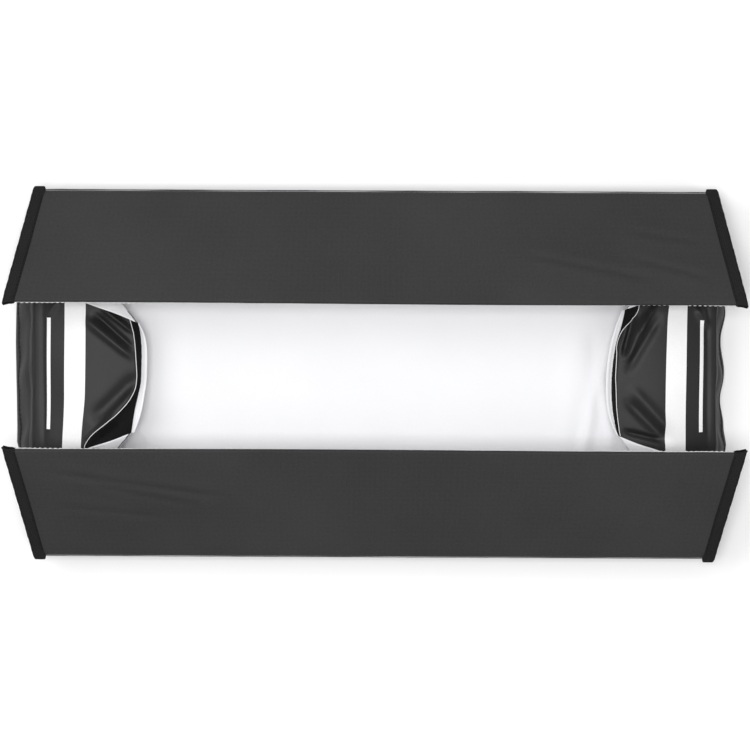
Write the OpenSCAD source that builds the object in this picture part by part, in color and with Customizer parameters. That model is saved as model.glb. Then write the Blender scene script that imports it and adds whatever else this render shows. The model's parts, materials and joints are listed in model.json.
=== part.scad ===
// Strip softbox, lying on its back, part folded. +X runs along the opening, +Z is the way it faces.
// The origin is on the surface under it, at the middle of the skirt's hem.

/* [Rear opening] */
// Length of the rear opening, seam to seam
rear_len = 640; // [560:1:760]
// Width of the rear opening, seam to seam
rear_wid = 344; // [320:1:440]
// Height of the skirt, from its hem to the fold seams
skirt_h = 36; // [34:1:44]
// How far the skirt's short ends flare outwards at the hem
skirt_flare = 17; // [0:1:24]

/* [Walls] */
// Slant length of every wall, from rear seam to front edge
wall_l = 117; // [100:1:130]
// How far each wall flares outwards when the softbox is open
flare = 23; // [10:1:34]
// Thickness of the stiffener board in a long wall
board_t = 2.6; // [1.5:0.1:3]
// Width of the webbing band over each slanted end
band_w = 12; // [10:0.5:20]

/* [Fold] */
// Angle of the long walls above the rear opening at rest; 90 is upright
wall_rest = 25.7; // [24:0.1:34]
// Angle of the end panels above the rear opening at rest
end_rest = 8; // [7:0.5:12]
// Angle of the gusset crease from the rear short seam
crease = 38.5; // [37:0.5:42]

/* [Cloth and tape] */
// Thickness of the cover cloth
cloth_t = 0.8; // [0.6:0.1:1]
// Thickness of the white lining
lining_t = 0.5; // [0.4:0.1:0.6]
// Width of the hook and loop tapes
tape_w = 20; // [16:1:22]
// Thickness of the hook and loop tapes
tape_t = 1.2; // [0.8:0.1:1.4]

/* [Hidden] */

half_len = rear_len / 2;
half_wid = rear_wid / 2;

// The fold. Each corner has a wall, an end panel's middle part and a wing between them. At rest the wing
// lies in the plane that holds the crease and the wall's slanted edge, and when open it is flat with the
// middle part.
edge_lean = atan(flare / wall_l);
open_angle = 90 + asin(flare / wall_l);
// Unit vectors from a rear corner: x along the long seam, y along the short seam, z up
wall_edge = [-sin(edge_lean), cos(edge_lean) * cos(wall_rest), cos(edge_lean) * sin(wall_rest)];
crease_dir = [sin(crease) * cos(end_rest), cos(crease), sin(crease) * sin(end_rest)];
flat_edge = [cos(edge_lean) * cos(end_rest), -sin(edge_lean), cos(edge_lean) * sin(end_rest)];
wing_fold = abs(atan2(crease_dir * cross(flat_edge, wall_edge),
    flat_edge * wall_edge - (crease_dir * flat_edge) * (crease_dir * wall_edge)));

echo(open_angle = open_angle, wing_fold = wing_fold);

// A wall's layers, measured outwards from the fold plane
lining_z = 0.6;
layer_room = 0.2;   // room between a wall's layers
board_z = lining_z + lining_t + layer_room;
cover_z = board_z + board_t + layer_room;
wall_top = cover_z + cloth_t;
hinge_gap = 3;      // every wall's solids start this far up from its seam
front_lip = 1;      // how much of a wall's front edge the cover is turned over
cover_in = 2;       // how far the cover, the lining and the board stop short of the slanted edge
lining_in = 3;
board_in = 4;
loop_in = 20;       // how far the loop tape stops short of the seam's ends
loop_back = 2;      // and how far it lies back from the front edge
band_skin = 0.7;    // thickness of the webbing band
band_proud = 2.5;   // how far a band's round end stands past the front edge
band_out = 1;       // how far a band stands past the slanted edge

// An end panel's pieces
crease_gap = 1.5;   // room either side of a gusset crease
wing_cut = 34;      // the wing stops this many degrees short of the corner seam, to pass the wall
wing_start = 27;    // and starts this far up, clear of the bands' rear ends
end_l = wall_l - 5; // the cover is cut a little shorter than the walls
end_tape_w = 15;    // the loop tape along the front edge is a narrower one
end_tape_in = 7;    // how far it stops short of each crease
pipe_d = 1.6;
pipe_in = 2;
edge_bow = 4;       // how far the front edge bows out
edge_steps = 16;

// The skirt and the baffle
skirt_t = 1.5 * cloth_t;
seam_room = 0.05;   // room between layers that lie on each other on a slant
seam_gap = 1;       // the skirt and its binding stop this far below the seam
binding_w = 8;
grip_z = 2;         // height of the hook tape's lower edge above the hem
grip_in = 12;       // how far the hook tape stops short of each corner
baffle_z = skirt_h - 16;
baffle_room = 0.5;
grip_h = baffle_z - 5; // width of the hook tape inside the skirt

CHARCOAL = [0.27, 0.27, 0.27];
SATIN = [0.13, 0.13, 0.14];
WEBBING = [0.07, 0.07, 0.07];
WHITE = [0.94, 0.94, 0.95];

// The four sides of the opening: how far each is turned, how far out it is, and half its length
function is_long(side) = side == "front" || side == "back";
function spin(side) = side == "front" ? 0 : side == "right" ? 90 : side == "back" ? 180 : -90;
function reach(side) = is_long(side) ? half_wid : half_len;
function seam_half(side) = is_long(side) ? half_len : half_wid;
function skirt_lean(side) = is_long(side) ? 0 : skirt_flare;

// How far out the skirt's outer face is at a height
function skirt_out(side, z) = reach(side) + skirt_lean(side) * (1 - z / skirt_h);

// Puts a panel drawn flat, hinged on its x axis, outer face up, in its place on one side of the opening
module on_side(side, fold) {
    rotate([0, 0, spin(side)]) translate([0, -reach(side), skirt_h]) rotate([fold, 0, 0]) children();
}

// ---- skirt, its tapes and the seam binding

// A strip of the skirt's section, from height z0 to z1 and from depth d0 to d1 inwards of its outer face
module skirt_strip(side, z0, z1, d0, d1, half_top, half_bottom) {
    out0 = skirt_out(side, z0);
    out1 = skirt_out(side, z1);
    rotate([0, 0, spin(side)])
        intersection() {
            rotate([90, 0, 90])
                translate([0, 0, -half_bottom])
                    linear_extrude(height = 2 * half_bottom)
                        polygon([[-out0 + d0, z0], [-out0 + d1, z0], [-out1 + d1, z1], [-out1 + d0, z1]]);
            rotate([90, 0, 0])
                translate([0, 0, -2 * reach(side)])
                    linear_extrude(height = 4 * reach(side))
                        polygon([[-half_bottom, z0], [half_bottom, z0], [half_top, z1], [-half_top, z1]]);
        }
}

module skirt(side) {
    half = seam_half(side) - skirt_t;
    color(SATIN)
        skirt_strip(side, 0, skirt_h - seam_gap, 0, skirt_t, half,
            is_long(side) ? half + skirt_flare * (1 - seam_gap / skirt_h) : half);
}

module hook_tape(side) {
    half = seam_half(side) - grip_in;
    inner = skirt_t + seam_room;
    color(WEBBING) skirt_strip(side, grip_z, grip_z + grip_h, inner, inner + tape_t, half, half);
}

module seam_binding(side) {
    half = seam_half(side);
    z1 = skirt_h - seam_gap;
    color(WEBBING) skirt_strip(side, z1 - binding_w, z1, -cloth_t - seam_room, -seam_room, half, half);
}

// ---- baffle

// Half of the baffle's width across one side, out to the skirt's inner face at its height
function baffle_out(side) = skirt_out(side, baffle_z + lining_t) - skirt_t - baffle_room;

module baffle_sheet() {
    color(WHITE)
        translate([-baffle_out("left"), -baffle_out("front"), baffle_z])
            cube([2 * baffle_out("left"), 2 * baffle_out("front"), lining_t]);
}

module baffle_tape(side) {
    half = is_long(side) ? baffle_out("left") : baffle_out("front") - tape_w;
    color(WEBBING)
        rotate([0, 0, spin(side)])
            translate([-half, -baffle_out(side), baffle_z - tape_t])
                cube([2 * half, tape_w, tape_t]);
}

// ---- long walls, drawn flat: x along the seam, y up the wall, z outwards

function edge_x(y) = half_len + flare * y / wall_l;

// The wall's outline, held back by inset at each slanted end and kept between y0 and y1
module wall_outline(inset, y0, y1) {
    polygon([[-edge_x(y0) + inset, y0], [edge_x(y0) - inset, y0],
        [edge_x(y1) - inset, y1], [-edge_x(y1) + inset, y1]]);
}

module wall_cover() {
    color(CHARCOAL) {
        translate([0, 0, cover_z]) linear_extrude(height = cloth_t)
            wall_outline(cover_in, hinge_gap, wall_l);
        translate([0, 0, lining_z]) linear_extrude(height = cover_z - lining_z)
            wall_outline(band_w + band_out, wall_l - front_lip, wall_l);
    }
}

module wall_board() {
    color([0.2, 0.2, 0.21])
        translate([0, 0, board_z]) linear_extrude(height = board_t)
            wall_outline(board_in, hinge_gap + 2 * front_lip, wall_l - 2.5 * front_lip);
}

module wall_lining() {
    color(WHITE)
        translate([0, 0, lining_z]) linear_extrude(height = lining_t)
            wall_outline(lining_in, hinge_gap + front_lip, wall_l - 1.5 * front_lip);
}

module wall_loop_tape() {
    color(WEBBING)
        translate([-half_len + loop_in, wall_l - tape_w - loop_back, lining_z - tape_t])
            cube([rear_len - 2 * loop_in, tape_w, tape_t]);
}

// Webbing folded over the slanted end, like a deep U, with round ends
module band_outline() {
    y0 = hinge_gap + band_w / 2;
    y1 = wall_l + band_proud - band_w / 2;
    mid = band_w / 2 - band_out;
    for (y = [y0, y1]) translate([edge_x(y) - mid, y]) circle(d = band_w, $fn = 48);
    half = band_w / 2 / cos(edge_lean);
    polygon([[edge_x(y0) - mid - half, y0], [edge_x(y0) - mid + half, y0],
        [edge_x(y1) - mid + half, y1], [edge_x(y1) - mid - half, y1]]);
}

module wall_band() {
    slot_h = wall_top - lining_z;
    color(WEBBING)
        difference() {
            translate([0, 0, lining_z - band_skin])
                linear_extrude(height = slot_h + 2 * band_skin) band_outline();
            // The slot the wall's layers lie in runs out past the band at both ends
            translate([0, 0, lining_z]) linear_extrude(height = slot_h)
                wall_outline(band_out, -band_w, wall_l + front_lip);
        }
}

// ---- end panels, drawn flat in the same way; the fold plane is the cover's outer face

function crease_x(y, gap) = half_wid - y / tan(crease) - gap / sin(crease);
end_half = crease_x(end_l, crease_gap);

// The middle part between the two creases, with a front edge that bows out to y1 + bow
module end_outline(y0, y1, bow, gap) {
    half = crease_x(y1, gap);
    polygon(concat([[-crease_x(y0, gap), y0], [crease_x(y0, gap), y0]],
        [for (i = [0:edge_steps]) let (t = 1 - 2 * i / edge_steps) [half * t, y1 + bow * (1 - t * t)]]));
}

module end_cover() {
    color(SATIN) translate([0, 0, -cloth_t]) linear_extrude(height = cloth_t)
        end_outline(hinge_gap, end_l, edge_bow, crease_gap);
}

module end_lining() {
    color(WHITE) translate([0, 0, -cloth_t - lining_t]) linear_extrude(height = lining_t)
        end_outline(hinge_gap, wall_l, edge_bow, crease_gap);
}

module end_loop_tape() {
    half = end_half - end_tape_in;
    color(WEBBING) translate([-half, end_l - end_tape_w, 0]) cube([2 * half, end_tape_w, tape_t]);
}

module end_piping() {
    half = end_half - pipe_in;
    color(WHITE) translate([-half, end_l - end_tape_w - pipe_d / 2 - layer_room, pipe_d / 2])
        rotate([0, 90, 0]) cylinder(h = 2 * half, d = pipe_d, $fn = 24);
}

// ---- gusset wings, drawn flat beside the middle part, then folded back over it about the crease

wing_edge_angle = 90 + edge_lean - wing_cut;
function wing_x(y) = half_wid - y / tan(wing_edge_angle);

module wing_outline() {
    polygon([[crease_x(wing_start, -crease_gap), wing_start], [wing_x(wing_start), wing_start],
        [wing_x(end_l), end_l], [crease_x(end_l, -crease_gap), end_l]]);
}

module folded_wing(hand, z0, t) {
    mirror([hand < 0 ? 1 : 0, 0, 0])
        translate([half_wid, 0, 0]) rotate(a = -wing_fold, v = [-cos(crease), sin(crease), 0])
            translate([-half_wid, 0, 0])
                translate([0, 0, z0]) linear_extrude(height = t) wing_outline();
}

module wing_cover(hand) {
    color(SATIN) folded_wing(hand, -cloth_t, cloth_t);
}

module wing_lining(hand) {
    color(WHITE) folded_wing(hand, -cloth_t - lining_t, lining_t);
}

// ---- every node

for (s = ["back", "front", "left", "right"]) {
    skirt(s);
    hook_tape(s);
    seam_binding(s);
    baffle_tape(s);
}

baffle_sheet();

for (s = ["back", "front"]) {
    on_side(s, wall_rest) {
        union() {
            wall_cover();
            wall_board();
            wall_lining();
            wall_loop_tape();
            // The back wall is drawn turned half a turn, so its right end is at -x as drawn
            turn = s == "back" ? 1 : 0;
            mirror([1 - turn, 0, 0]) wall_band();
            mirror([turn, 0, 0]) wall_band();
        }
    }
}

for (s = ["left", "right"]) {
    on_side(s, end_rest) {
        union() {
            end_cover();
            end_lining();
            end_loop_tape();
            end_piping();
            // The panel's own +x is at +y on the right-hand end and at -y on the left-hand end
            for (w = [["back", s == "right" ? 1 : -1], ["front", s == "right" ? -1 : 1]]) {
                wing_cover(w[1]);
                wing_lining(w[1]);
            }
        }
    }
}
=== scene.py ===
"""Strip softbox: the cloth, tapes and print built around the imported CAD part, in metres, in the row frame."""

import json
import math

import bpy
import numpy as np
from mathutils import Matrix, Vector


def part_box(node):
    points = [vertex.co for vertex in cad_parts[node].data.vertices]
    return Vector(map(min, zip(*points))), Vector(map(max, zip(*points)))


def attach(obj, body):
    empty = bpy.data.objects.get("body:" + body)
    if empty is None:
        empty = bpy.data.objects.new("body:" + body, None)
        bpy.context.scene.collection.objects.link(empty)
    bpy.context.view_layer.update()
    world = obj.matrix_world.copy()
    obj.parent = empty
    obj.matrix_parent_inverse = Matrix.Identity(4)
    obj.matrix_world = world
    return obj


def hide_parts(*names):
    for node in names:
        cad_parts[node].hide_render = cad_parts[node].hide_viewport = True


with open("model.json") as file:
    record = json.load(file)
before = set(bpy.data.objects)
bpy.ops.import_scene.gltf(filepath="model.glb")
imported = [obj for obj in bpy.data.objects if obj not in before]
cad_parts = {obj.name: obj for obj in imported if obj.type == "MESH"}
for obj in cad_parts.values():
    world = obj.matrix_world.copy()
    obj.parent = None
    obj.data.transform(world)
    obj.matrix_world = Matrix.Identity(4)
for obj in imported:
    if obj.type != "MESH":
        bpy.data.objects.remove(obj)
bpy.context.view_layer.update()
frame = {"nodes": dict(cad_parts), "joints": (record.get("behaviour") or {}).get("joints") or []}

# ---------------------------------------------------------------- sizes shared with the CAD

joint = {j["name"]: j for j in frame["joints"]}
HINGE = joint["wall_back_fold"]["pos_m"][2]  # height of the rear seams
HALF_WID = joint["wall_back_fold"]["pos_m"][1]
HALF_LEN = joint["end_right_fold"]["pos_m"][0]
WALL_L = 0.117  # a long wall's slant length, from its seam to its front edge
FLARE = 0.023  # how much further out each end of a long wall is at the front edge
WALL_REST = math.radians(25.7)
END_REST = math.radians(8)
CREASE = math.radians(38.5)  # from the rear short seam to a gusset's crease
WALL_TOP = 0.0049  # outer face of a wall's cloth above the fold plane
BAND_W = 0.012
rng = np.random.default_rng(7)

REACH = {"front": HALF_WID, "back": HALF_WID, "left": HALF_LEN, "right": HALF_LEN}
SPIN = {"front": 0.0, "right": 90.0, "back": 180.0, "left": -90.0}
FOLD = {"front": WALL_REST, "back": WALL_REST, "left": END_REST, "right": END_REST}


def place(side, x, y, z):
    """Points drawn on a flat panel (x along its seam, y up the panel, z outwards), in their place at rest."""
    x, y, z = np.broadcast_arrays(x, y, z)
    c, s = math.cos(FOLD[side]), math.sin(FOLD[side])
    fx, fy, fz = x, y * c - z * s - REACH[side], y * s + z * c + HINGE
    t = math.radians(SPIN[side])
    ct, st = round(math.cos(t), 12), round(math.sin(t), 12)
    return np.stack([fx * ct - fy * st, fx * st + fy * ct, fz], -1)


def direction(side, x, y, z):
    """A direction drawn on a flat panel, as it points at rest."""
    return place(side, x, y, z) - place(side, 0.0, 0.0, 0.0)


def across(side):
    """+1 where a panel's own +x points to world +X or +Y, -1 where it points the other way."""
    return -1.0 if side in ("back", "left") else 1.0


def smooth(t):
    t = np.clip(t, 0, 1)
    return t * t * (3 - 2 * t)


def ridge(x, y, a, b, width, height):
    """A soft fold line from a to b: a bump of that height, fading towards its ends."""
    ax, ay, bx, by = *a, *b
    dx, dy = bx - ax, by - ay
    length = math.hypot(dx, dy)
    t = ((x - ax) * dx + (y - ay) * dy) / length**2
    off = ((x - ax) * dy - (y - ay) * dx) / length
    along = smooth(t * 3 + 0.4) * smooth((1 - t) * 3 + 0.4)
    return height * along * np.exp(-((off / width) ** 2))


def groove(x, y, a, b, width, depth):
    """A fold in cloth on a board: a groove from a to b, in a wide rise about as high as the groove is deep."""
    return ridge(x, y, a, b, 3 * width, 0.95 * depth) - ridge(x, y, a, b, width, depth)


# ---------------------------------------------------------------- materials

WAVE_PERIOD = 0.314  # of a wave texture at scale 1


def new_material(name, rough, spec):
    m = bpy.data.materials.new(name)
    m.use_nodes = True
    shader = m.node_tree.nodes["Principled BSDF"]
    shader.inputs["Roughness"].default_value = rough
    shader.inputs["Specular IOR Level"].default_value = spec
    return m, m.node_tree, shader


def math_node(tree, operation, *values):
    """The output of a math node whose inputs are sockets or plain numbers."""
    made = tree.nodes.new("ShaderNodeMath")
    made.operation = operation
    for socket, value in zip(made.inputs, values):
        if isinstance(value, (int, float)):
            socket.default_value = value
        else:
            tree.links.new(value, socket)
    return made.outputs[0]


def noise(tree, scale, detail=2.0, vector=None):
    made = tree.nodes.new("ShaderNodeTexNoise")
    made.inputs["Scale"].default_value = scale
    made.inputs["Detail"].default_value = detail
    if vector is not None:
        tree.links.new(vector, made.inputs["Vector"])
    return made.outputs["Fac"]


def two_tone(tree, factor, colors, positions=(0.0, 1.0)):
    """Tones between two colours, as the factor goes from one position to the other."""
    ramp = tree.nodes.new("ShaderNodeValToRGB")
    for stop, color, position in zip(ramp.color_ramp.elements, colors, positions):
        stop.color = (*color, 1)
        stop.position = position
    tree.links.new(factor, ramp.inputs["Fac"])
    return ramp.outputs["Color"]


def threads(tree, uv, period):
    """Height of a plain weave: threads both ways across the cloth."""
    waves = []
    for axis in ("X", "Y"):
        wave = tree.nodes.new("ShaderNodeTexWave")
        wave.bands_direction = axis
        wave.inputs["Scale"].default_value = WAVE_PERIOD / period
        wave.inputs["Distortion"].default_value = 0.6
        tree.links.new(uv, wave.inputs["Vector"])
        waves.append(wave.outputs["Fac"])
    return math_node(tree, "MULTIPLY", *waves)


def rip_grid(tree, uv, pitch):
    """1 on the thick threads of a ripstop cloth, 0 between them."""
    split = tree.nodes.new("ShaderNodeSeparateXYZ")
    tree.links.new(uv, split.inputs[0])
    lines = []
    for axis in ("X", "Y"):
        away = math_node(tree, "PINGPONG", split.outputs[axis], pitch / 2)
        lines.append(math_node(tree, "LESS_THAN", away, pitch * 0.07))
    return math_node(tree, "MAXIMUM", *lines)


def fabric(name, color, rough, period, bump, mottle, spec, rip=0.0, pile=0.0, patch=14.0):
    """A woven cloth: thread bump on both axes of the piece's own flat pattern, soft mottling, and a ripstop
    grid or a pile where it has one."""
    m, tree, shader = new_material(name, rough, spec)
    uv = tree.nodes.new("ShaderNodeUVMap").outputs["UV"]
    both = tree.nodes.new("ShaderNodeMix")
    both.inputs["Factor"].default_value = 0.35
    tree.links.new(noise(tree, patch, 4, uv), both.inputs["A"])
    tree.links.new(noise(tree, 420, vector=uv), both.inputs["B"])
    shades = [[min(1.0, c * k) for c in color] for k in (1 - mottle, 1 + mottle)]
    tone = two_tone(tree, both.outputs["Result"], shades, (0.3, 0.7))
    height = threads(tree, uv, period)
    if pile:
        height = math_node(tree, "MULTIPLY_ADD", noise(tree, 700, 6, uv), pile, height)
    if rip:
        grid = tree.nodes.new("ShaderNodeMix")
        grid.data_type = "RGBA"
        tree.links.new(math_node(tree, "MULTIPLY", rip_grid(tree, uv, rip), 0.2), grid.inputs["Factor"])
        tree.links.new(tone, grid.inputs["A"])
        grid.inputs["B"].default_value = (*[c * 1.3 for c in color], 1)
        tone = grid.outputs["Result"]
    tree.links.new(tone, shader.inputs["Base Color"])
    relief = tree.nodes.new("ShaderNodeBump")
    relief.inputs["Strength"].default_value = bump
    relief.inputs["Distance"].default_value = period * 0.5
    tree.links.new(height, relief.inputs["Height"])
    tree.links.new(relief.outputs["Normal"], shader.inputs["Normal"])
    return m


def hard_board():
    m, tree, shader = new_material("stiffener_board", 0.6, 0.5)
    tones = two_tone(tree, noise(tree, 60), ((0.035, 0.035, 0.036), (0.06, 0.06, 0.062)))
    tree.links.new(tones, shader.inputs["Base Color"])
    return m


RIPSTOP = fabric(
    "ripstop", (0.031, 0.031, 0.0312), rough=0.7, period=0.0012, bump=0.35, mottle=0.22, spec=0.2,
    rip=0.005, patch=6
)
SATIN = fabric(
    "satin", (0.016, 0.016, 0.0162), rough=0.42, period=0.0009, bump=0.22, mottle=0.12, spec=0.26
)
SKIRT = fabric(
    "skirt_satin", (0.0145, 0.0145, 0.0147), rough=0.5, period=0.0009, bump=0.25, mottle=0.12, spec=0.22
)
WEBBING = fabric(
    "webbing", (0.012, 0.012, 0.012), rough=0.85, period=0.0018, bump=0.9, mottle=0.3, spec=0.2
)
PILE = fabric(
    "grip_pile", (0.008, 0.008, 0.0085), rough=0.95, period=0.0015, bump=0.8, mottle=0.35, spec=0.15, pile=1.6
)
LINING = fabric(
    "white_lining", (0.80, 0.80, 0.82), rough=0.7, period=0.0012, bump=0.15, mottle=0.02, spec=0.25
)
BAFFLE = fabric(
    "baffle_cloth", (0.83, 0.83, 0.85), rough=0.8, period=0.0012, bump=0.12, mottle=0.015, spec=0.2
)
THREAD = fabric(
    "white_thread", (0.8, 0.8, 0.8), rough=0.7, period=0.0006, bump=0.4, mottle=0.08, spec=0.3
)
INK = fabric(
    "white_print", (0.84, 0.84, 0.84), rough=0.5, period=0.0009, bump=0.2, mottle=0.04, spec=0.35
)
BOARD = hard_board()

# ---------------------------------------------------------------- mesh builders


def finish_mesh(name, verts, faces, mats, uvs):
    me = bpy.data.meshes.new(name)
    me.from_pydata([tuple(v) for v in verts], [], faces)
    for m in mats:
        me.materials.append(m)
    me.polygons.foreach_set("use_smooth", [True] * len(me.polygons))
    layer = me.uv_layers.new(name="UVMap")
    loops = np.zeros(len(me.loops), int)
    me.loops.foreach_get("vertex_index", loops)
    layer.data.foreach_set("uv", np.asarray(uvs, float)[loops].ravel())
    me.update()
    o = bpy.data.objects.new(name, me)
    bpy.context.scene.collection.objects.link(o)
    return o


def grid_faces(rows, cols, closed):
    """Four-cornered faces between a grid's points. A closed one joins its last column to its first."""
    return [
        (i * cols + j, i * cols + (j + 1) % cols, (i + 1) * cols + (j + 1) % cols, (i + 1) * cols + j)
        for i in range(rows - 1)
        for j in range(cols if closed else cols - 1)
    ]


def sheet(name, pts, mats, up, thick=0.0, closed=False):
    """A grid of points, rows x columns, as a smooth surface whose flat pattern gives its texture coordinates.
    The first material shows on the side up points to and a second, if any, on the other side."""
    rows, cols = pts.shape[:2]
    faces = grid_faces(rows, cols, closed)
    i, j = rows // 2, cols // 2
    if np.dot(np.cross(pts[i, j + 1] - pts[i, j], pts[i + 1, j] - pts[i, j]), up) < 0:
        faces = [f[::-1] for f in faces]
    step_u = np.linalg.norm(np.diff(pts, axis=1), axis=2).mean(0)
    step_v = np.linalg.norm(np.diff(pts, axis=0), axis=2).mean(1)
    u = np.concatenate([[0], np.cumsum(step_u)])
    v = np.concatenate([[0], np.cumsum(step_v)])
    uu, vv = np.meshgrid(u, v)
    o = finish_mesh(name, pts.reshape(-1, 3), faces, mats, np.stack([uu.ravel(), vv.ravel()], -1))
    if thick:
        mod = o.modifiers.new("thickness", "SOLIDIFY")
        mod.thickness = thick
        mod.offset = -1.0
        if len(mats) > 1:
            mod.material_offset = 1
    return o


def run_along(path):
    """Distance along a path, at each of its points."""
    return np.concatenate([[0], np.cumsum(np.linalg.norm(np.diff(path, axis=0), axis=1))])


def tube(name, pts, radius, mat, sides=10):
    """A round cord through the points, with closed ends. The radius is one value, or one for each point."""
    pts = np.asarray(pts, float)
    count = len(pts)
    radii = np.broadcast_to(radius, count)
    tang = np.gradient(pts, axis=0)
    tang /= np.linalg.norm(tang, axis=1)[:, None]
    n1 = np.cross(tang, np.array([0.0, 0.0, 1.0]))
    n1 /= np.linalg.norm(n1, axis=1)[:, None]
    n2 = np.cross(tang, n1)
    ang = np.linspace(0, 2 * math.pi, sides, endpoint=False)
    ring = n1[:, None, :] * np.cos(ang)[None, :, None] + n2[:, None, :] * np.sin(ang)[None, :, None]
    verts = (pts[:, None, :] + ring * radii[:, None, None]).reshape(-1, 3)
    faces = grid_faces(count, sides, True)
    faces += [tuple(range(sides))[::-1], tuple((count - 1) * sides + j for j in range(sides))]
    uvs = [(along, a * r) for along, r in zip(run_along(pts), radii) for a in ang]
    return finish_mesh(name, verts, faces, [mat], uvs)


def stitches(name, path, mat, length, gap, radius=0.0003, sides=6):
    """A row of short threads along a path, as one piece."""
    path = np.asarray(path, float)
    run = run_along(path)
    profile = ((0.0, 0.45), (0.25, 1.0), (0.75, 1.0), (1.0, 0.45))  # share of the length, share of the radius
    ang = np.linspace(0, 2 * math.pi, sides, endpoint=False)
    verts, faces, uvs = [], [], []
    at = 0.0
    while at + length < run[-1]:
        start, end = [np.array([np.interp(q, run, path[:, k]) for k in range(3)]) for q in (at, at + length)]
        t = end - start
        t /= np.linalg.norm(t)
        a = np.cross(t, [0, 0, 1.0])
        a /= np.linalg.norm(a)
        b = np.cross(t, a)
        base = len(verts)
        for q, r in profile:
            c = start + (end - start) * q
            for g in ang:
                verts.append(c + (a * math.cos(g) + b * math.sin(g)) * radius * r)
                uvs.append((at + q * length, g * radius))
        faces += [tuple(base + k for k in f) for f in grid_faces(len(profile), sides, True)]
        faces.append(tuple(base + j for j in range(sides))[::-1])
        faces.append(tuple(base + (len(profile) - 1) * sides + j for j in range(sides)))
        at += length + gap
    return finish_mesh(name, verts, faces, [mat], uvs)


def fit(piece, body, stands_for=()):
    """Fixes a piece to its body, and hides the CAD nodes it stands for, if any."""
    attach(piece, body)
    if stands_for:
        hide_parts(*stands_for)
    return piece


# ---------------------------------------------------------------- walls

# Folds in each long wall's cover as (from, to, depth), and one pucker as (from, to). Places are (world x,
# distance from the seam).
WALL_FOLDS = {
    "back": [
        ((0.142, 0.067), (0.25, 0.09), 0.0021),
        ((0.24, 0.07), (0.308, 0.09), 0.0019),
        ((0.236, 0.042), (0.3, 0.053), 0.0017),
    ],
    "front": [
        ((-0.295, 0.092), (-0.142, 0.068), 0.0022),
        ((-0.26, 0.08), (-0.17, 0.06), 0.0019),
        ((-0.29, 0.056), (-0.2, 0.046), 0.0016),
    ],
}
PUCKER = {"back": ((-0.3, 0.11), (-0.25, 0.05)), "front": ((0.29, 0.1), (0.24, 0.03))}
BOW_START = {"back": 0.5, "front": 2.1}  # where the front edge's slow wave starts, in radians


def edge_x(y):
    """Half length of a long wall, at a distance from its seam."""
    return HALF_LEN + FLARE * y / WALL_L


def wall_cloth(side):
    """The ripstop cover: up the outer face, round the front edge and 4 mm back under it."""
    turn = 0.0022  # radius of the turn at the front edge, along the wall
    mid = (WALL_TOP - 0.0004) / 2
    prof = [(0.0, -0.0002), (0.0012, 0.0016), (0.003, 0.0036), (0.0055, 0.0046), (0.009, WALL_TOP)]
    prof += [(y, WALL_TOP) for y in np.linspace(0.013, WALL_L - turn, 44)]
    for a in np.radians(np.linspace(75, -90, 9)):
        prof.append((WALL_L - turn + turn * math.cos(a), 0.0004 + mid + mid * math.sin(a)))
    prof += [(WALL_L - turn - 0.002, 0.0003), (WALL_L - turn - 0.004, 0.0002)]
    y, z = np.array(prof).T[:, :, None]
    x = np.linspace(-1, 1, 280)[None, :] * (edge_x(np.minimum(y, WALL_L)) - 0.002)
    wx = x * across(side)
    soft = 0.00022 * np.sin(wx * 41 + 3 * y * 30) + 0.00018 * np.sin(wx * 97 + y * 55 + 1.3)
    for a, b, depth in WALL_FOLDS[side]:
        soft = soft + groove(wx, y, a, b, 0.0040, depth)
    soft = soft + ridge(wx, y, *PUCKER[side], 0.006, 0.0005)
    outer_face = smooth((z - 0.003) / 0.0015)
    front_bow = 0.0006 * np.sin(wx * 9 + BOW_START[side]) * (y / WALL_L) ** 3
    return place(side, x, y + front_bow, z + soft * outer_face)


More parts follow.
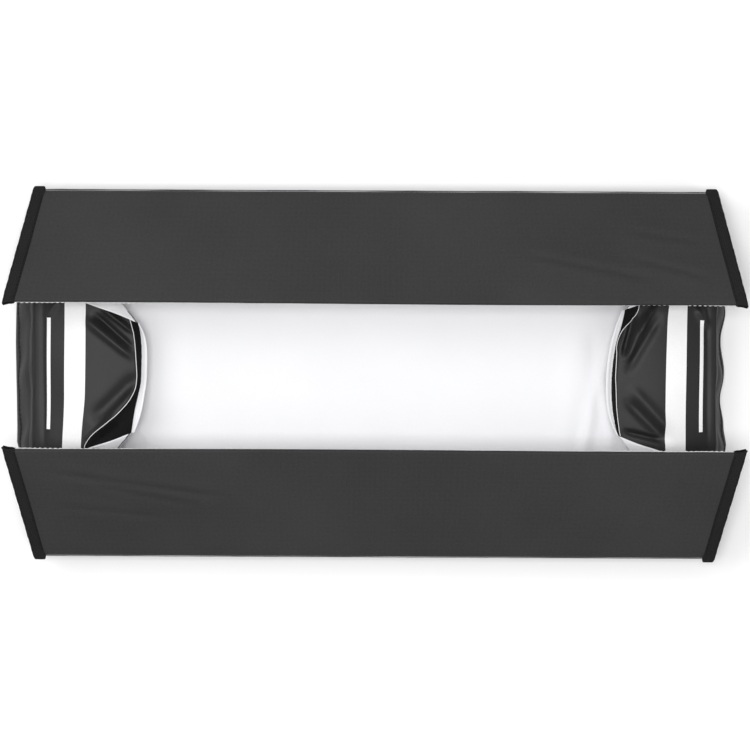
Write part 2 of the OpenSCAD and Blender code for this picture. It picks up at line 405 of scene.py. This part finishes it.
def band_points(side, end):
    """Webbing folded over a wall's slanted end: a U across, narrowing at the rear and cut at the front."""
    past = 0.0012  # how far it stands past the wall at both ends
    y0, y1 = -past, WALL_L + past
    r = BAND_W / 2
    top, low = WALL_TOP + 0.0006, -0.0003
    mid = (top + low) / 2
    rear = y0 + np.array([0.0, 0.0003, 0.0008, 0.0015, 0.0025])
    front = y1 - 0.0022 + np.array([0.001, 0.0016, 0.002, 0.0022])
    along = np.concatenate([rear, np.linspace(y0 + 0.004, y1 - 0.0022, 52), front])
    cap = np.ones_like(along)
    cap[:4] = (0.80, 0.88, 0.94, 0.98)
    cap[-3:] = (0.98, 0.95, 0.88)
    rows = []
    for k, (y, c) in enumerate(zip(along, cap)):
        centre = edge_x(min(y, WALL_L)) - r + 0.001
        half = r * c
        inner = centre - half
        wobble = 0.00012 * math.sin(y * 310) + 0.0001 * math.sin(y * 830 + 1)
        cut = k > len(along) - 3
        tall = (top - low) / 2 * (0.75 if cut else 1.0)
        t, lo = mid + tall, mid - tall
        section = [(inner, mid + 0.0004), (inner + 0.0002, t)]
        for q in (0.2, 0.4, 0.6, 0.8, 0.93):
            section.append((inner + 2 * half * q, t + 0.00025 * math.sin(math.pi * q)))
        nose = min(0.0016, half * 0.5)
        for a in np.radians((60, 30, 0, -30, -60)):
            section.append((centre + half - nose + nose * math.cos(a) + wobble, mid + tall * math.sin(a)))
        section += [(inner + 2 * half * q, lo) for q in (0.93, 0.7, 0.45, 0.2, 0.03)]
        # The front end's cut is a little ragged and runs slightly aslant. The rear end's inner face stops
        # short of the seam, to stand clear of the skirt when the box is erect.
        x, z = np.array(section).T
        aslant = 0.0012 * smooth((y - 0.105) / 0.012) * (x - centre) / r
        clear = 0.0013 * smooth((0.0048 - z) / 0.003) * smooth((y0 + 0.006 - y) / 0.006)
        ragged = 0.0003 * np.sin(x * 4000) * cut
        rows.append(np.stack([x, y + aslant + clear + ragged, z], -1))
    x, y, z = np.moveaxis(np.array(rows), -1, 0)
    return place(side, x * across(end) * across(side), y, z)


def add_wall_band(side, end, normal):
    """The webbing over one slanted end, its two rows of stitches and, on the front wall, its tip."""
    body = f"wall_{side}"
    name = f"wall_{side}_band_{end}"
    turn = across(end) * across(side)
    band = sheet(f"wall_{side}_webbing_{end}", band_points(side, end), [WEBBING], normal, thick=0.0003)
    pieces = [fit(band, body, [name])]
    for edge, inset, lift in (("inner", 0.0098, 0.0009), ("outer", 0.0006, 0.0007)):
        y = np.linspace(0.009, WALL_L - 0.003, 60)
        row = place(side, turn * (edge_x(y) - inset), y, WALL_TOP + lift)
        pieces.append(fit(stitches(f"{name}_{edge}_stitches", row, WEBBING, 0.0026, 0.0014), body))
    if side == "front":
        # The webbing's cut tip stands out past the front corner
        inset = np.array([0.0030, 0.0014, 0.0, -0.0012])
        y = WALL_L + np.array([-0.0012, 0.0004, 0.0012, 0.0016])
        line = place(side, turn * (edge_x(WALL_L) - inset), y, np.array([0.0038, 0.0040, 0.0036, 0.0030]))
        pieces.append(fit(tube(f"{name}_tip", line, (0.0013, 0.0014, 0.0012, 0.0006), WEBBING), body))
    return pieces


def add_wall_front_edge(side, normal):
    """The lining's turned edge, which shows as a thin light line, its stitches, and the loop tape inside."""
    body = f"wall_{side}"
    x = np.linspace(-1, 1, 200)[None, :] * (edge_x(WALL_L) - 0.011)
    y = WALL_L - np.array([0.0055, 0.0030, 0.0014, 0.0008, 0.0011])[:, None]
    z = np.array([-0.0002, -0.0003, -0.0002, 0.0002, 0.0006])[:, None]
    waver = 0.00025 * np.sin(x * 130) + 0.0002 * np.sin(x * 57 + 1)
    hem = sheet(f"wall_{side}_lining_hem", place(side, x, y + waver, z), [LINING], -normal)

    x = np.linspace(-1, 1, 200) * (edge_x(WALL_L) - 0.014)
    path = place(side, x, WALL_L - 0.0003 + 0.0002 * np.sin(x * 57 + 1), 0.0010)
    sewn = stitches(f"wall_{side}_front_stitches", path, THREAD, 0.0028, 0.0019, 0.00035)

    x = np.linspace(-1, 1, 160)[None, :] * (HALF_LEN - 0.02)
    y = np.linspace(WALL_L - 0.022, WALL_L - 0.002, 12)[:, None]
    fuzz = rng.normal(0, 0.00012, (12, 160))
    tape = sheet(f"wall_{side}_loop_pile", place(side, x, y, -0.0012 + fuzz), [PILE], -normal, thick=0.0009)
    return [
        fit(hem, body),
        fit(sewn, body),
        fit(tape, body, [f"wall_{side}_loop_tape"]),
    ]


def add_wall(side):
    body = f"wall_{side}"
    normal = direction(side, 0.0, 0.0, 1.0)
    cover = sheet(f"wall_{side}_ripstop", wall_cloth(side), [RIPSTOP], normal, thick=0.0004)
    fit(cover, body, [f"wall_{side}_cover"])

    y = np.linspace(0.0006, WALL_L - 0.0042, 40)[:, None]
    x = np.linspace(-1, 1, 200)[None, :] * (edge_x(y) - 0.0035)
    soft = 0.0002 * np.sin(x * 60 + y * 40) + 0.00015 * np.sin(x * 23 - y * 90)
    lining_points = place(side, x, y, 0.0007 + soft)
    lining = sheet(f"wall_{side}_white_lining", lining_points, [LINING], -normal, thick=0.0004)
    fit(lining, body, [f"wall_{side}_lining"])

    trims = add_wall_front_edge(side, normal)
    for end in ("left", "right"):
        trims += add_wall_band(side, end, normal)
    frame["nodes"][f"wall_{side}_board"].data.materials.clear()
    frame["nodes"][f"wall_{side}_board"].data.materials.append(BOARD)


for side in ("back", "front"):
    add_wall(side)

# ---------------------------------------------------------------- end panels

PANEL = 0.112  # flat length of an end panel's cover, seam to front edge
BEND = 0.0125  # how far from its front edge the cover starts to roll down
# How far the front edge is from the seam at rest: at the front corner, in the middle and at the back corner
FRONT_EDGE = {"left": (0.0928, 0.0995, 0.0985), "right": (0.0920, 0.0964, 0.0870)}
PLACES, STEPS = 81, 240  # of the tables of an end panel's profile: places across it, and steps up it
UP_PANEL = np.linspace(0, PANEL, STEPS)

# The piping's line, from one crease to the other, as (towards the back, from the seam, the place s on the
# front edge that the tape reaches from there). It runs just inside the front edge, and swings away from it at
# one corner, where the tape lies wide.
PIPING = {
    "left": [
        (0.0600, 0.0885, 0.985), (0.046, 0.0935, 0.75), (0.031, 0.0962, 0.5), (0.0, 0.0976, 0.0),
        (-0.015, 0.0960, -0.25), (-0.026, 0.0910, -0.45), (-0.037, 0.0810, -0.60), (-0.048, 0.0690, -0.72),
        (-0.057, 0.0570, -0.80), (-0.068, 0.0480, -0.87), (-0.084, 0.0500, -0.94), (-0.096, 0.0600, -0.985),
    ],
    "right": [
        (0.0765, 0.0752, 0.985), (0.066, 0.0735, 0.93), (0.056, 0.0765, 0.87), (0.050, 0.0840, 0.78),
        (0.042, 0.0895, 0.68), (0.028, 0.0932, 0.48), (0.0, 0.0950, 0.0), (-0.030, 0.0938, -0.5),
        (-0.050, 0.0915, -0.85), (-0.0560, 0.0905, -0.985),
    ],
}

# Folds in each end panel, as (from, to, half width, height): positions are (towards the back, from the seam)
WRINKLES = {
    "left": [
        ((0.062, 0.066), (0.040, 0.094), 0.0026, 0.0045),
        ((0.055, 0.060), (0.026, 0.092), 0.0030, -0.0045),
        ((0.050, 0.052), (0.016, 0.094), 0.0038, 0.0033),
        ((0.066, 0.078), (0.050, 0.096), 0.0021, -0.0033),
        ((-0.002, 0.098), (-0.042, 0.058), 0.0064, -0.0039),
        ((-0.016, 0.096), (-0.056, 0.062), 0.0043, 0.0030),
        ((-0.060, 0.052), (-0.040, 0.080), 0.0027, 0.0027),
        ((-0.066, 0.058), (-0.048, 0.082), 0.0024, -0.0030),
        ((0.07, 0.007), (-0.07, 0.009), 0.0038, -0.0018),
        ((0.068, 0.022), (0.052, 0.012), 0.0034, 0.0018),
    ],
    "right": [
        ((0.060, 0.078), (0.020, 0.088), 0.0030, -0.0048),
        ((0.058, 0.068), (0.016, 0.086), 0.0034, 0.0039),
        ((0.054, 0.056), (0.006, 0.084), 0.0038, -0.0033),
        ((0.066, 0.060), (0.040, 0.074), 0.0024, 0.0030),
        ((-0.052, 0.086), (-0.060, 0.052), 0.0026, -0.0036),
        ((-0.024, 0.084), (-0.062, 0.046), 0.0051, -0.0030),
        ((-0.012, 0.080), (-0.05, 0.045), 0.0051, 0.0021),
        ((0.07, 0.008), (-0.07, 0.006), 0.0038, -0.0021),
        ((0.064, 0.018), (0.046, 0.006), 0.0038, 0.0024),
    ],
}


def crease_x(y):
    """Half width of an end panel between its creases, at a distance from its seam."""
    return HALF_WID - y / math.tan(CREASE)


def through(s, values):
    """A value given at the panel's front corner (s = -1), its middle and its back corner (s = 1)."""
    f, m, b = values
    return m + (b - f) / 2 * s + ((b + f) / 2 - m) * s * s


def curl_angle(side, s):
    """How far the front edge rolls down."""
    if side == "left":
        return np.radians(85) * smooth((s + 0.75) / 0.6)
    return np.radians(88) * smooth((0.95 - s) / 0.5)


def end_tables(side):
    """Distance from the seam and height of an end panel's profile, for places across it and steps up it."""
    s = np.linspace(-1, 1, PLACES)
    theta = -curl_angle(side, s)[:, None] * smooth((UP_PANEL[None, :] - (PANEL - BEND)) / 0.0085)
    step = UP_PANEL[1] - UP_PANEL[0]
    start = np.zeros((PLACES, 1))
    ys = np.concatenate([start, np.cumsum(np.cos(theta[:, 1:]) * step, 1)], 1)
    hs = np.concatenate([start, np.cumsum(np.sin(theta[:, 1:]) * step, 1)], 1)
    ys *= (through(s, FRONT_EDGE[side]) / ys[:, -1])[:, None]
    return ys, hs


TABLES = {side: end_tables(side) for side in ("left", "right")}


def look_up(table, s, run):
    """A table's value at any place across and distance up the cloth, between its entries."""
    i = np.clip((s + 1) / 2 * (PLACES - 1), 0, PLACES - 1.001)
    j = np.clip(run / PANEL * (STEPS - 1), 0, STEPS - 1.001)
    i0, j0 = i.astype(int), j.astype(int)
    fi, fj = i - i0, j - j0
    near = table[i0, j0] * (1 - fi) * (1 - fj) + table[i0 + 1, j0] * fi * (1 - fj)
    return near + table[i0, j0 + 1] * (1 - fi) * fj + table[i0 + 1, j0 + 1] * fi * fj


def end_profile(side, s, run):
    """Place towards the back, distance from the seam and height of an end panel's cover."""
    ys, hs = TABLES[side]
    y = look_up(ys, s, run)
    b = s * crease_x(y)
    keep = 1 - np.abs(s) ** 6
    arch = 0.0065 * np.sin(math.pi * np.clip(y / 0.098, 0, 1)) * (1 - np.abs(s) ** 3)
    soft = 0.0005 * np.sin(b * 70 + y * 35) * np.sin(y * 55 + 0.4)
    folds = sum(ridge(b, y, *wrinkle) for wrinkle in WRINKLES[side])
    return b, y, look_up(hs, s, run) * keep + arch + (folds + soft) * keep * smooth(run / 0.012)


def end_surface(side, s, run, lift):
    """Points on an end panel's cover. s runs from -1 at the front crease to 1 at the back one, run is the
    flat distance from the rear seam, and lift is the distance outwards from the cloth."""
    s, run, lift = np.broadcast_arrays(s, run, lift)
    e = 0.0004
    b, y, h = end_profile(side, s, run)
    ahead = end_profile(side, s, run + e)
    behind = end_profile(side, s, run - e)
    dy, dh = ahead[1] - behind[1], ahead[2] - behind[2]
    size = np.hypot(dy, dh)
    return place(side, b * across(side), y - lift * dh / size, h + lift * dy / size)


def piping_line(side, count):
    """Places on the end panel along its piping, as s, run and the matching s on the front edge."""
    b, y, edge = np.array(PIPING[side]).T
    knots = np.concatenate([[0], np.cumsum(np.hypot(np.diff(b), np.diff(y)))])
    at = np.linspace(0, knots[-1], count)
    reach = 12  # samples to each side that the corners of the line are rounded off over
    weights = np.exp(-((np.arange(-reach, reach + 1) / 5.0) ** 2))
    weights /= weights.sum()
    line = []
    for v in (b, y, edge):
        padded = np.pad(np.interp(at, knots, v), reach, mode="reflect", reflect_type="odd")
        line.append(np.convolve(padded, weights, "valid"))
    s = np.clip(line[0] / crease_x(line[1]), -0.99, 0.99)
    ys = TABLES[side][0]
    middle = (PLACES - 1) // 2
    run = [np.interp(d, ys[int(round((q + 1) * middle))], UP_PANEL) for q, d in zip(s, line[1])]
    even_run = np.convolve(np.pad(run, 3, mode="edge"), np.ones(7) / 7, "valid")
    return s, even_run, np.clip(line[2], -0.985, 0.985)


def end_lining(side, s, up):
    """The lining under the cover, with a hem that stands out past the front edge, and the hem's stitches."""
    under = end_surface(side, s, np.linspace(0.002, PANEL, 90)[:, None], -0.0015)
    last = end_surface(side, s, np.array([[PANEL]]), -0.0015)[0]
    out = direction(side, 0.0, 1.0, 0.0)
    wide = (1 - 0.7 * np.abs(s[0]) ** 5)[:, None]
    reach = (0.0008, 0.0020, 0.0034, 0.0050, 0.0066, 0.0078)
    rise = (-0.0003, 0.0002, -0.0002, 0.0006, 0.0012, 0.0009)
    hem = [last + out * r * wide + up * z for r, z in zip(reach, rise)]
    lining = sheet(f"end_{side}_white_lining", np.concatenate([under, hem]), [LINING], -up, thick=0.0004)
    rim_line = last + out * 0.0029 * wide + up * 0.0004
    return lining, stitches(f"end_{side}_hem_stitches", rim_line[6:-6], THREAD, 0.0026, 0.0012)


def end_tape_and_piping(side, up):
    """Loop tape from the piping out to the front edge, and the piping along its inner side."""
    s, run, edge_s = piping_line(side, 160)
    q = np.linspace(0, 1, 18)[:, None]
    fuzz = rng.normal(0, 0.00009, (18, 160))
    pile = end_surface(side, s + (edge_s - s) * q, run + (PANEL - 0.0004 - run) * q, 0.0008 + fuzz)
    tape = sheet(f"end_{side}_loop_pile", pile, [PILE], up, thick=0.0006)
    return tape, tube(f"end_{side}_white_piping", end_surface(side, s, run, 0.0009), 0.00034, THREAD)


def end_print(side, label, y0, y1, half, up):
    """A plain printed bar, from y0 to y1 up the panel."""
    b = np.linspace(-half, half, 110)[None, :]
    run = np.linspace(y0, y1, 14)[:, None]
    return sheet(f"end_{side}_print_{label}", end_surface(side, b / crease_x(run), run, 0.00018), [INK], up)


def add_end(side):
    body = f"end_{side}"
    up = direction(side, 0.0, 0.0, 1.0)
    s = np.linspace(-1, 1, 150)[None, :]
    cover_points = end_surface(side, s, np.linspace(0.0, PANEL, 130)[:, None], 0.0)
    cover = sheet(f"end_{side}_satin", cover_points, [SATIN], up, thick=0.0006)
    fit(cover, body, [f"{body}_cover"])
    lining, rim_seam = end_lining(side, s, up)
    fit(lining, body, [f"{body}_lining"])
    fit(rim_seam, body)
    tape, piping = end_tape_and_piping(side, up)
    fit(tape, body, [f"{body}_loop_tape"])
    fit(piping, body, [f"{body}_piping"])
    broad = fit(end_print(side, "broad", 0.0315, 0.0530, 0.095, up), body)
    thin = fit(end_print(side, "thin", 0.0130, 0.0170, 0.052, up), body)


for side in ("left", "right"):
    add_end(side)

# ---------------------------------------------------------------- gusset wings


def add_wing(side, end):
    """The gusset's loose triangle, from its crease to the long wall's slanted edge."""
    body = f"wing_{side}_{end}"
    sign = -across(end)  # +1 at the back
    corner = place(side, sign * HALF_WID * across(side), 0.0, 0.0)
    fold_end = end_surface(side, sign, PANEL, 0.0)
    tip_x = across(side) * across(end) * (edge_x(WALL_L) - 0.0048)
    crease, edge = fold_end - corner, place(end, tip_x, WALL_L - 0.0035, -0.0012) - corner
    normal = np.cross(crease, edge)
    normal = normal / np.linalg.norm(normal) * (1 if normal[2] > 0 else -1)
    r = np.linspace(0.02, 1, 60)[:, None]
    q = np.linspace(0, 1, 70)[None, :]
    ray = crease * (1 - q)[..., None] + edge * q[..., None]
    pull = 1 - 0.088 * 4 * q * (1 - q) * r**2
    billow = 0.0030 * np.sin(math.pi * q) * r + 0.0009 * np.sin(q * 19) * np.sin(math.pi * q) * r
    billow = billow + 0.0007 * np.sin(q * 11 + r * 9) * np.sin(math.pi * q)
    pts = corner + ray * (r * pull)[..., None] + normal * billow[..., None]
    wing = sheet(f"{body}_cloth", pts, [LINING, SATIN], normal, thick=0.0008)
    fit(wing, body, [f"{body}_cover", f"{body}_lining"])
    sewn = slice(8, -6)  # the hem's stitches stop short of both corners
    hem_lift = billow[-1][sewn, None] + 0.0002
    hem_path = corner + ray[0][sewn] * pull[-1][sewn, None] * 0.985 + normal * hem_lift
    hem = fit(stitches(f"{body}_hem_stitches", hem_path, THREAD, 0.0026, 0.0014), body)


def add_corner_strip(side, end):
    """The rest of the corner's cloth, sewn to the wall's slanted edge, which hangs slack under it at rest."""
    y = np.linspace(0.005, WALL_L - 0.003, 60)[:, None]
    t = np.linspace(0, 1, 10)[None, :]
    hang = t * (0.0285 * y / WALL_L + 0.0050 * smooth((y - 0.004) / 0.032))
    y, z = y - hang * math.sin(WALL_REST), -0.0006 - hang * math.cos(WALL_REST)
    x = across(side) * across(end) * (edge_x(y) - 0.0035 + 0.0012 * np.sin(math.pi * t))
    inward = direction(end, -across(side) * across(end), 0.0, 0.0)
    strip = sheet(f"corner_{side}_{end}_cloth", place(end, x, y, z), [LINING, SATIN], inward, thick=0.0008)
    fit(strip, f"wall_{end}")


for side in ("left", "right"):
    for end in ("back", "front"):
        add_wing(side, end)
        add_corner_strip(side, end)

# ---------------------------------------------------------------- skirt, binding, hook tapes

TOP_Z = HINGE - 0.0004


def fade(b):
    """1 along the middle of a short side, easing to 0 at its corners, where the walls hold the cloth in."""
    return np.clip((HALF_WID - np.abs(b)) / 0.105, 0, 1) ** 1.3


def hem_out(nx, b):
    """How far the hem stands out of the seam's line, from the outward direction's x and the place along."""
    left = 0.0222 + 0.0006 * np.sin(b * 45 + 0.5)
    wave = 0.0022 * np.cos(2 * math.pi * (b - 0.004) / 0.056)
    right = 0.0112 + wave + 0.0068 * smooth((-b - 0.05) / 0.025)
    long_side = 0.0004 + 0.0004 * np.sin(b * 60)
    return np.where(nx < 0, left, right) * fade(b) * np.abs(nx) + long_side * (1 - np.abs(nx))


def ring(n_long=150, n_short=90, n_corner=8, radius=0.004):
    """Points round the rear opening with their outward directions, and which side each belongs to."""
    cx, cy = HALF_LEN - radius, HALF_WID - radius
    # The corner at the far end of each side, as its arc's centre
    turns = {"front": (cx, -cy), "right": (cx, cy), "back": (-cx, cy), "left": (-cx, -cy)}
    start = np.array(turns["left"])
    pts, nor, tag = [], [], []
    for side, turn in turns.items():
        end = np.array(turn)
        angle = SPIN[side] - 90
        count = n_long if side in ("front", "back") else n_short
        out = np.round([math.cos(math.radians(angle)), math.sin(math.radians(angle))], 12)
        for q in np.linspace(0, 1, count, endpoint=False):
            pts.append(start + (end - start) * q + radius * out)
            nor.append(out)
            tag.append(side)
        for a in np.radians(np.linspace(angle, angle + 90, n_corner, endpoint=False)):
            out = np.array([math.cos(a), math.sin(a)])
            pts.append(end + radius * out)
            nor.append(out)
            tag.append("corner")
        start = end
    return np.array(pts), np.array(nor), tag


RING, OUT, TAG = ring()
OUTWARDS = np.column_stack([OUT, np.zeros(len(OUT))])


def skirt_surface(heights, off):
    """Rows of points on the skirt at those heights above the hem, off outwards of the cloth's outer face."""
    b = np.where(np.abs(OUT[:, 0]) > 0.5, RING[:, 1], RING[:, 0])
    far = hem_out(OUT[:, 0], b)
    short = np.abs(OUT[:, 0]) * fade(b)
    rows = []
    for z in heights:
        down = np.clip(1 - z / TOP_Z, 0, 1)
        hump = math.sin(math.pi * down)
        crumple = 0.0011 * np.sin(b * 85 + down * 4) * hump * short
        crumple = crumple + 0.0006 * np.sin(b * 190 + 1 + down * 2) * hump * (0.3 + 0.7 * short)
        pinch = -0.0012 * math.exp(-(((down - 0.2) / 0.12) ** 2)) * short
        d = far * down**0.85 + crumple + pinch + off
        rows.append(np.column_stack([RING + OUT * d[:, None], np.full(len(RING), z)]))
    return np.array(rows)


def tuck_in(rows, *edges):
    """Draws rows of a strip 0.6 mm inwards, so that its edges lie on the cloth under it."""
    for i in edges:
        rows[i] -= OUTWARDS * 0.0006
    return rows


def on_side(side):
    return [i for i, t in enumerate(TAG) if t == side]


def add_hook_tape(side):
    keep = on_side(side)[5:-5]
    rows = skirt_surface(np.linspace(0.0025, 0.017, 9), -0.0022)[:, keep]
    rows = rows + rng.normal(0, 0.00008, rows.shape)
    tape = sheet(f"hook_pile_{side}", rows, [PILE], -OUTWARDS[keep[0]], thick=0.0008)
    return fit(tape, "root", [f"hook_tape_{side}"])


def add_skirt():
    outward = np.array([0.0, 1.0, 0.0])  # direction at the middle of the ring's points, on the back side
    heights = [0.0008, 0.0016, 0.003, *np.linspace(0.006, TOP_Z - 0.003, 16), TOP_Z - 0.0012, TOP_Z]
    skirt = sheet("skirt_cloth", skirt_surface(heights, 0.0), [SKIRT], outward, thick=0.0010, closed=True)
    hem_rows = tuck_in(skirt_surface([0.0012, 0.0035, 0.0065, 0.0080], 0.0007), 0, 3)
    hem = sheet("skirt_hem", hem_rows, [SKIRT], outward, thick=0.0005, closed=True)
    seam = skirt_surface([0.0084], 0.0004)[0]
    hem_stitch = stitches("skirt_hem_stitches", np.concatenate([seam, seam[:1]]), WEBBING, 0.003, 0.0016)
    binding_rows = tuck_in(skirt_surface(np.linspace(TOP_Z - 0.0082, TOP_Z - 0.0004, 6), 0.0009), 0, 5)
    binding = sheet("seam_binding", binding_rows, [SKIRT], outward, thick=0.0005, closed=True)
    fit(skirt, "root", [f"skirt_{s}" for s in SPIN])
    fit(hem, "root")
    fit(hem_stitch, "root")
    fit(binding, "root", [f"seam_binding_{s}" for s in SPIN])
    trims = [hem, hem_stitch, binding] + [add_hook_tape(side) for side in SPIN]


add_skirt()

# ---------------------------------------------------------------- inner baffle

BAFFLE_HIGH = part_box("baffle_sheet")[1]
BAFFLE_Z = BAFFLE_HIGH.z
INNER = skirt_surface([BAFFLE_Z], -0.0018)[0]  # the skirt's inner face at the baffle's height

# Soft folds in the baffle, as (from, to, half width, height)
BAFFLE_FOLDS = [
    ((0.214, 0.012), (0.196, -0.085), 0.0060, 0.0026),
    ((0.214, 0.000), (0.226, -0.070), 0.0045, 0.0022),
    ((0.205, 0.045), (0.211, -0.040), 0.0070, -0.0016),
    ((0.188, 0.050), (0.180, -0.090), 0.0120, 0.0013),
    ((-0.226, -0.048), (-0.210, -0.072), 0.0020, 0.0013),
    ((-0.19, 0.09), (-0.17, -0.03), 0.0140, 0.0009),
    ((-0.05, 0.11), (-0.06, 0.0), 0.0160, 0.0007),
]


def inner_x(side, y):
    """Where the skirt's inner face is at the baffle's height."""
    face = INNER[on_side(side)]
    face = face[np.argsort(face[:, 1])]
    return np.interp(y, face[:, 1], face[:, 0])


def add_baffle_tape(side):
    low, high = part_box(f"baffle_tape_{side}")
    nx, ny = [max(4, int(length / 0.004)) for length in (high.x - low.x, high.y - low.y)]
    y = np.linspace(low.y, high.y, ny)[:, None]
    left_x, right_x = inner_x("left", y), inner_x("right", y)
    if side == "left":
        right_x = left_x + (high.x - low.x)
    elif side == "right":
        left_x = right_x - (high.x - low.x)
    x = left_x + (right_x - left_x) * np.linspace(0, 1, nx)[None, :]
    z = low.z + 0.0001 + rng.normal(0, 0.00008, (ny, nx))
    pts = np.stack(np.broadcast_arrays(x, y, z), -1)
    tape = sheet(f"baffle_pile_{side}", pts, [PILE], np.array([0, 0, -1.0]), thick=0.0005)
    return fit(tape, "root", [f"baffle_tape_{side}"])


def add_baffle():
    half = BAFFLE_HIGH.y - 0.0005
    y = np.linspace(-1, 1, 140)[:, None] * half
    u = np.linspace(0, 1, 260)[None, :]
    x = inner_x("left", y) * (1 - u) + inner_x("right", y) * u
    inside = (1 - (2 * u - 1) ** 8) * (1 - (y / half) ** 8)
    wave = -0.0012 * (1 - (y / half) ** 2) + 0.0005 * np.sin(x * 24 + 1) * np.sin(y * 19)
    for fold in BAFFLE_FOLDS:
        wave = wave + ridge(x, y, *fold)
    pts = np.stack(np.broadcast_arrays(x, y, BAFFLE_Z + wave * inside), -1)
    baffle = sheet("baffle_cloth", pts, [BAFFLE], np.array([0, 0, 1.0]), thick=0.0005)
    fit(baffle, "root", ["baffle_sheet"])
    edging = [add_baffle_tape(side) for side in SPIN]


add_baffle()

# ---------------------------------------------------------------- studio


def add_floor(scene):
    me = bpy.data.meshes.new("floor")
    r = 3.0
    me.from_pydata([(-r, -r, 0), (r, -r, 0), (r, r, 0), (-r, r, 0)], [], [(0, 1, 2, 3)])
    floor = bpy.data.objects.new("floor", me)
    scene.collection.objects.link(floor)
    m, tree, shader = new_material("pale_floor", 0.9, 0.1)
    tones = two_tone(tree, noise(tree, 3), ((0.93, 0.93, 0.93), (0.95, 0.95, 0.95)))
    tree.links.new(tones, shader.inputs["Base Color"])
    me.materials.append(m)


def add_light(scene, name, where, size, watts):
    """A square light that points at the origin."""
    light = bpy.data.lights.new(name, "AREA")
    light.shape = "SQUARE"
    light.size = size
    light.energy = watts
    o = bpy.data.objects.new(name, light)
    scene.collection.objects.link(o)
    o.location = where
    o.rotation_mode = "QUATERNION"
    o.rotation_quaternion = (Vector((0, 0, 0)) - Vector(where)).to_track_quat("-Z", "Y")


def add_camera(scene):
    """A long lens 2.6 m from the middle of the rear opening, above it and a little towards the back."""
    cam = bpy.data.cameras.new("camera")
    cam.lens, cam.sensor_width = 132.6, 36.0
    cam.clip_start, cam.clip_end = 0.05, 20
    o = bpy.data.objects.new("camera", cam)
    scene.collection.objects.link(o)
    away, lean = 2.6, math.radians(2.6)
    o.location = (-0.0004, -0.0004 + away * math.sin(lean), HINGE + away * math.cos(lean))
    o.rotation_euler = (-lean, 0, math.radians(0.27))
    scene.camera = o


def studio():
    scene = bpy.context.scene
    scene.view_settings.view_transform = "Standard"
    world = bpy.data.worlds.new("studio")
    scene.world = world
    world.use_nodes = True
    background = world.node_tree.nodes["Background"]
    background.inputs["Color"].default_value = (1.0, 1.0, 1.0, 1)
    background.inputs["Strength"].default_value = 0.3
    add_floor(scene)
    add_light(scene, "key_left", (-1.5, 0.5, 1.9), 1.6, 22.0)
    add_light(scene, "fill_right", (1.5, -0.9, 1.8), 1.6, 11.0)
    add_light(scene, "top_back", (0.0, 1.6, 1.7), 1.4, 8.0)
    add_light(scene, "overhead", (-0.2, 0.0, 3.2), 1.2, 55.0)
    add_camera(scene)


studio()
